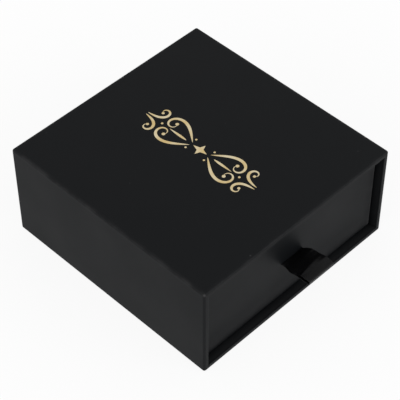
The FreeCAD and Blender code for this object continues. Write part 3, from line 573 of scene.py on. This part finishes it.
# how far the layers' edges stand above their middle line, by distance from the slit
UPPER_RIGHT = ((0.0, 0.1), (2.2, 0.9), (3.8, 0.75), (5.2, 0.2), (7.0, -0.2), (8.6, -0.15),
               (10.4, 0.35), (11.6, 0.1), (13.6, -0.1))
UPPER_LEFT = ((0.0, 0.0), (2.0, -0.7), (4.7, -1.1), (6.4, -1.2), (8.0, -1.15), (9.4, -0.35),
              (11.0, -0.1), (13.6, 0.0))
LOWER_RIGHT = ((0.0, 0.0), (5.0, 0.2), (9.0, 0.5), (13.6, 0.15))
LOWER_LEFT = ((0.0, 0.0), (4.0, 0.25), (8.0, 0.75), (13.6, 0.1))


def ribbon_route(upper_tail, lower_tail):
    """Corner points (y, z, radius) of the folded ribbon's middle line, from the slit: down
    a tail, out along the top, round the fold, back, and down the other tail."""
    return (
        (TAIL_Y, upper_tail, 0.0),
        (TAIL_Y, LAYER, 0.33),
        (-0.15, LAYER, 3.0),
        (-3.6, 1.15, 8.0),
        (-8.5, 2.0, 3.2),
        (-13.6, 0.7, 0.6),
        (-13.45, -0.72, 0.6),
        (-9.2, -1.05, 9.0),
        (-RIBBON_STRAIGHT, -LAYER, 4.0),
        (TAIL_Y, -LAYER, 0.33),
        (TAIL_Y, -lower_tail, 0.0),
    )


def read_table(table, where):
    """The table's value at a place, eased between its rows."""
    if where <= table[0][0]:
        return table[0][1]
    for (start, low), (end, high) in zip(table, table[1:]):
        if where <= end:
            return low + (high - low) * smoothstep((where - start) / (end - start))
    return table[-1][1]


def band_half_thickness(edge):
    """Half the band's thickness at a share of its half width: full at the selvedge, then
    rounded off."""
    fullness = smoothstep((edge - SELVEDGE_START) / SELVEDGE_RAMP)
    half = RIBBON_THICKNESS / 2 * (BAND_FULLNESS + (1 - BAND_FULLNESS) * fullness)
    if edge > EDGE_START:
        past = (edge - EDGE_START) / (1 - EDGE_START)
        half *= math.sqrt(max(0.0, 1 - past ** 2))
    return max(half, EDGE_THINNEST)


def ribbon_section(half_width):
    """Points (x, height, share of the half width) round the band's section."""
    outline = []
    for side in (1, -1):
        for step in range(ACROSS_STEPS + 1):
            share = math.sin((step / ACROSS_STEPS - 0.5) * math.pi)
            outline.append((side * share, side * band_half_thickness(abs(share))))
    return [(share * half_width, height, share) for share, height in outline]


def ribbon_ripple(share, gathered, on_top):
    """The folds that the slit gathers into the ribbon's neck."""
    phase = BROAD_PHASE + BROAD_TURN * (1 - on_top)
    broad = BROAD_RIPPLE * math.cos(share * BROAD_WAVES * math.pi + phase)
    return gathered * (broad + FINE_RIPPLE * math.cos(share * FINE_WAVES * math.pi + FINE_PHASE))


def run_length(points):
    return sum((b - a).length for a, b in zip(points, points[1:]))


def make_ribbon(material):
    low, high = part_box("ribbon_pull")
    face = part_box("drawer_wrap")[0].y / MM
    level = (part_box("drawer_wrap")[0].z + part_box("drawer_wrap")[1].z) / 2 / MM - RIBBON_DROP
    line = rounded(ribbon_route(high.z / MM - level, level - low.z / MM), RUN_STEP)
    farthest = min(range(len(line)), key=lambda n: line[n].x)
    to_fold = run_length(line[:farthest + 1])
    vertices = []
    weave = []
    along = 0.0
    for index, point in enumerate(line):
        if index:
            along += (point - line[index - 1]).length
        tangent = (line[min(index + 1, len(line) - 1)] - line[max(index - 1, 0)]).normalized()
        normal = Vector((-tangent.y, tangent.x))
        out = max(0.0, -point.x)
        opened = smoothstep((out - RIBBON_STRAIGHT) / RIBBON_SPREAD)
        half_width = (RIBBON_NECK + (RIBBON_WIDTH - RIBBON_NECK) * opened) / 2
        drift = RIBBON_DRIFT * out / RIBBON_REACH
        on_top = 1 - smoothstep((along - to_fold) / FOLD_EASE + 0.5)
        gathered = math.exp(-((out - GATHER_MIDDLE) / GATHER_SPREAD) ** 2)
        if out <= GATHER_START:
            gathered = 0.0
        left, right = (read_table(upper, out) * on_top + read_table(lower, out) * (1 - on_top)
                       for upper, lower in ((UPPER_LEFT, LOWER_LEFT), (UPPER_RIGHT, LOWER_RIGHT)))
        tilt = (right - left) / 2
        arch = (right + left) / 2
        for x, height, share in ribbon_section(half_width):
            creases = CREASE * opened * noise.noise(
                Vector((share * CREASE_ACROSS, along * SOFT_ALONG, CREASE_SEED)))
            lift = (tilt * share + arch * share * share
                    + ribbon_ripple(share, gathered, on_top) + creases)
            seed = RIGHT_WAVE_SEED if share > 0 else LEFT_WAVE_SEED
            wave = EDGE_WAVE * opened * noise.noise(Vector((along * SOFT_ALONG, seed, 1.0)))
            place = point + normal * height
            vertices.append(Vector((RIBBON_OFFSET + drift + x + wave * share,
                                    face + place.x, level + place.y + lift)) * MM)
            weave.append((along, x, 0.0))
    ring = 2 * (ACROSS_STEPS + 1)
    faces = []
    for index in range(len(line) - 1):
        for n in range(ring):
            a = index * ring + n
            b = index * ring + (n + 1) % ring
            faces.append((a, b, b + ring, a + ring))
    faces.append(tuple(range(ring)))
    faces.append(tuple((len(line) - 1) * ring + n for n in reversed(range(ring))))
    ribbon = piece_from("satin_ribbon_pull", vertices, faces, "drawer", material)
    stored = ribbon.data.attributes.new("weave", "FLOAT_VECTOR", "POINT")
    for item, value in zip(stored.data, weave):
        item.vector = value
    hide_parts("ribbon_pull")


# ---------------------------------------------------------------------------
# Glued layers of paper, in millimetres
# ---------------------------------------------------------------------------

FLAP_THICKNESS = 0.10
FLAP_SUNK = 0.03            # how far the edge goes into the paper below
FLAP_BEVEL = 0.05
FLAP_BEVEL_FOOT = 0.6       # the bevel's start, as a share of the thickness
FLAP_SPACING = 3.0
FLAP_WOBBLE = 0.08
FLAP_WOBBLE_RATE = 0.2
FLAP_CORNER = 0.5
FLAP_HIDDEN = 0.3           # the lift below which an edge shows no cut paper
REAR_MARGIN = 1.6
SIDE_LAP = 14.0
SIDE_LAP_START = 1.3
SIDE_LAP_THINNEST = 0.1
INNER_LAP = 7.0
INNER_LAP_SLANT = 1.2
INNER_LAP_LIFT = 0.8
DRAWER_WALL = 1.86
DRAWER_FLOOR = 1.9
RIM_MARGIN = 1.0


def shape_points(corners):
    """Points round a closed shape, counter-clockwise, from corners (u, v)."""
    middle = tuple((first + last) / 2 for first, last in zip(corners[0], corners[-1]))
    route = [(*corner, FLAP_CORNER) for corner in (middle, *corners, middle)]
    return rounded(route, FLAP_SPACING)[:-1]


def paper_flap(name, body, place, corners, materials, lift):
    """A layer of paper glued on a flat face, with a cut edge round it. place(u, v, out)
    gives a point on the face or above it, and lift(u) the share of the full thickness.
    The materials are the paper's and its cut edge's."""
    points = shape_points(corners)
    count = len(points)
    vertices = []
    for inset, sunk, height in ((0.0, FLAP_SUNK, 0.0), (0.0, 0.0, FLAP_BEVEL_FOOT),
                                (FLAP_BEVEL, 0.0, 1.0)):
        for index, point in enumerate(points):
            run = (points[(index + 1) % count] - points[index - 1]).normalized()
            wobble = FLAP_WOBBLE * noise.noise(Vector((
                point.x * FLAP_WOBBLE_RATE, point.y * FLAP_WOBBLE_RATE, len(name))))
            u, v = point + Vector((run.y, -run.x)) * (wobble - inset)
            vertices.append(Vector(place(u, v, height * lift(u) * FLAP_THICKNESS - sunk)) * MM)
    faces = [tuple(range(count)), tuple(range(2 * count, 3 * count))]
    for ring in (0, count):
        for index in range(count):
            next_one = (index + 1) % count
            faces.append((ring + index, ring + next_one,
                          ring + count + next_one, ring + count + index))
    flap = piece_from(name, vertices, faces, body, materials[0], smooth=False)
    flap.data.materials.append(materials[1])
    for face in flap.data.polygons[2:]:
        at = points[(face.index - 2) % count]
        face.material_index = 1 if lift(at.x) > FLAP_HIDDEN else 0


def rectangle(left, bottom, right, top):
    return (left, bottom), (right, bottom), (right, top), (left, top)


def make_sleeve_rear_panel(materials):
    """The paper that covers the turned-over flaps on the sleeve's closed end."""
    low, high = (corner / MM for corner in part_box("sleeve_wrap"))
    shape = rectangle(low.x + REAR_MARGIN, low.z + REAR_MARGIN,
                      high.x - REAR_MARGIN, high.z - REAR_MARGIN)
    paper_flap("sleeve_rear_panel", "sleeve", lambda u, v, out: (u, high.y + out, v),
               shape, materials, lambda u: 1.0)


def side_lap_lift(u):
    """The outer lap's lift: thin beside the corner that the paper comes round, full at
    its cut edge."""
    return SIDE_LAP_THINNEST + (1 - SIDE_LAP_THINNEST) * min(1.0, u / SIDE_LAP)


def make_drawer_laps(materials):
    """Where the paper of the drawer's ends laps onto its sides, outside and inside."""
    low, high = (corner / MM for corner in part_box("drawer_wrap"))
    outside = rectangle(SIDE_LAP_START, low.z + RIM_MARGIN, SIDE_LAP, high.z - RIM_MARGIN)
    inside = ((0.0, low.z + DRAWER_FLOOR), (INNER_LAP, low.z + DRAWER_FLOOR),
              (INNER_LAP - INNER_LAP_SLANT, high.z - RIM_MARGIN), (0.0, high.z - RIM_MARGIN))
    for side, side_name in ((-1, "left"), (1, "right")):
        for end, end_y, end_name in ((1, low.y, "front"), (-1, high.y, "rear")):
            paper_flap(f"drawer_{side_name}_{end_name}_lap", "drawer",
                       lambda u, v, out: (side * (high.x + out), end_y + end * u, v),
                       outside, materials, side_lap_lift)
            paper_flap(f"drawer_{side_name}_{end_name}_inner_lap", "drawer",
                       lambda u, v, out: (side * (high.x - DRAWER_WALL - out),
                                          end_y + end * (DRAWER_WALL + u), v),
                       inside, materials, lambda u: INNER_LAP_LIFT)


# ---------------------------------------------------------------------------
# The object
# ---------------------------------------------------------------------------

# each wrap with the painted light that it is given
WRAP_NODES = {"sleeve_wrap": ("sleeve_black_wrap", mouth_painted_light),
              "drawer_wrap": ("drawer_black_wrap", face_painted_light)}
LINING_NODES = ("sleeve_base_sheet", "sleeve_liner", "sleeve_rear_liner", "drawer_base_liner",
                "ribbon_anchor_patch")
TAPE_NODES = ("sleeve_corner_stays", "sleeve_rear_stays", "drawer_corner_stays")

wraps = {node: black_wrap(name, node, painted_light) for node, (name, painted_light) in WRAP_NODES.items()}
for node, wrap in wraps.items():
    dress(NODES[node], wrap)
lining = black_lining("black_lining")
board = grey_board("greyboard")
tape = gummed_tape("gummed_tape")
for node, obj in NODES.items():
    if node in LINING_NODES:
        dress(obj, lining)
    elif node in TAPE_NODES:
        dress(obj, tape)
    elif node.endswith("_board"):
        dress(obj, board)
dress(NODES["lid_foil_ornament"], gold_foil("gold_foil"))
make_ribbon(satin("black_satin"))
cut_edge = cut_paper("cut_paper_edge")
make_sleeve_rear_panel((wraps["sleeve_wrap"], cut_edge))
make_drawer_laps((wraps["drawer_wrap"], cut_edge))


# ---------------------------------------------------------------------------
# Floor, light and camera, in metres
# ---------------------------------------------------------------------------

AMBIENT = 0.62              # the white world's strength for light on the object
FLOOR_HALF_WIDTH = 4
FLOOR_LEVEL = -0.00005
FLOOR_COLOUR = (0.86, 0.86, 0.86, 1.0)
GLOW_REACH = (0.07, 0.24)   # distances from the origin between which the glow rises
GLOW_SHARES = (0.90, 1.0)   # of the glow in what direct rays see, beside the lit floor

LAMP_WIDTH = 0.7
LAMP_TARGET = (0, 0, 0.02)
LAMPS = (("left_light", (-0.90, -0.10, 0.36), 3.8),
         ("front_light", (0.20, -0.92, 0.36), 4.6))

CAMERA_ANGLES = (-45.2039, 46.9922, -0.1763)    # azimuth, elevation and roll in degrees
CAMERA_PLACE = (-0.28806, -0.28589, 0.45170)
CAMERA_LENS = 136.17
CAMERA_SENSOR = 36.0
CAMERA_CLIP = 0.01


def seen_directly(nodes):
    """1 for rays from the camera, mirrors and glass, which show the white background."""
    rays = nodes.node("ShaderNodeLightPath").outputs
    return nodes.most(rays["Is Camera Ray"], rays["Is Glossy Ray"], rays["Is Transmission Ray"])


def make_world():
    world = bpy.data.worlds.new("studio")
    bpy.context.scene.world = world
    world.use_nodes = True
    nodes = Nodes(world.node_tree)
    background = world.node_tree.nodes["Background"]
    background.inputs["Color"].default_value = (1.0, 1.0, 1.0, 1.0)
    strength = nodes.span(seen_directly(nodes), (0.0, 1.0), (AMBIENT, 1.0))
    nodes.feed(background.inputs["Strength"], strength)


def make_floor():
    """A large white floor. It glows for direct rays and still takes a soft shadow."""
    mesh = bpy.data.meshes.new("studio_floor")
    corners = [(x * FLOOR_HALF_WIDTH, y * FLOOR_HALF_WIDTH, FLOOR_LEVEL)
               for x, y in ((-1, -1), (1, -1), (1, 1), (-1, 1))]
    mesh.from_pydata(corners, [], [(0, 1, 2, 3)])
    floor = add_object("studio_floor", mesh)
    matt = Finish("studio_floor", Base_Color=FLOOR_COLOUR, Roughness=0.9, Specular_IOR_Level=0.0)
    distance = matt.node("ShaderNodeVectorMath", {0: matt.place}, operation="LENGTH")
    share = matt.multiply(seen_directly(matt),
                          matt.span(distance.outputs["Value"], GLOW_REACH, GLOW_SHARES))
    glow = matt.node("ShaderNodeEmission", {"Strength": 1.0})
    mix = matt.node("ShaderNodeMixShader", {"Fac": share, 1: matt.shader.outputs[0],
                                            2: glow.outputs[0]})
    matt.feed(matt.tree.nodes["Material Output"].inputs["Surface"], mix.outputs[0])
    dress(floor, matt.material)


def soft_box(name, place, power):
    """A square soft light that faces the object."""
    light = bpy.data.lights.new(name, "AREA")
    light.shape = "SQUARE"
    light.size = LAMP_WIDTH
    light.energy = power
    lamp = add_object(name, light)
    lamp.location = place
    aim = Vector(LAMP_TARGET) - Vector(place)
    lamp.rotation_euler = aim.to_track_quat("-Z", "Y").to_euler()


def make_camera():
    """The camera, from its direction as seen from the object, its roll and its place."""
    azimuth, elevation, roll = (math.radians(v) for v in CAMERA_ANGLES)
    back = Vector((math.sin(azimuth) * math.cos(elevation),
                   -math.cos(azimuth) * math.cos(elevation), math.sin(elevation)))
    right = Vector((math.cos(azimuth), math.sin(azimuth), 0.0))
    up = back.cross(right)
    rolled_right = right * math.cos(roll) + up * math.sin(roll)
    rolled_up = up * math.cos(roll) - right * math.sin(roll)
    turned = Matrix((rolled_right, rolled_up, back)).transposed().to_4x4()
    data = bpy.data.cameras.new("camera")
    data.sensor_width = CAMERA_SENSOR
    data.lens = CAMERA_LENS
    data.clip_start = CAMERA_CLIP
    camera = add_object("camera", data)
    camera.matrix_world = Matrix.Translation(CAMERA_PLACE) @ turned
    bpy.context.scene.camera = camera


bpy.context.scene.view_settings.view_transform = "Standard"
make_world()
make_floor()
for name, place, power in LAMPS:
    soft_box(name, place, power)
make_camera()
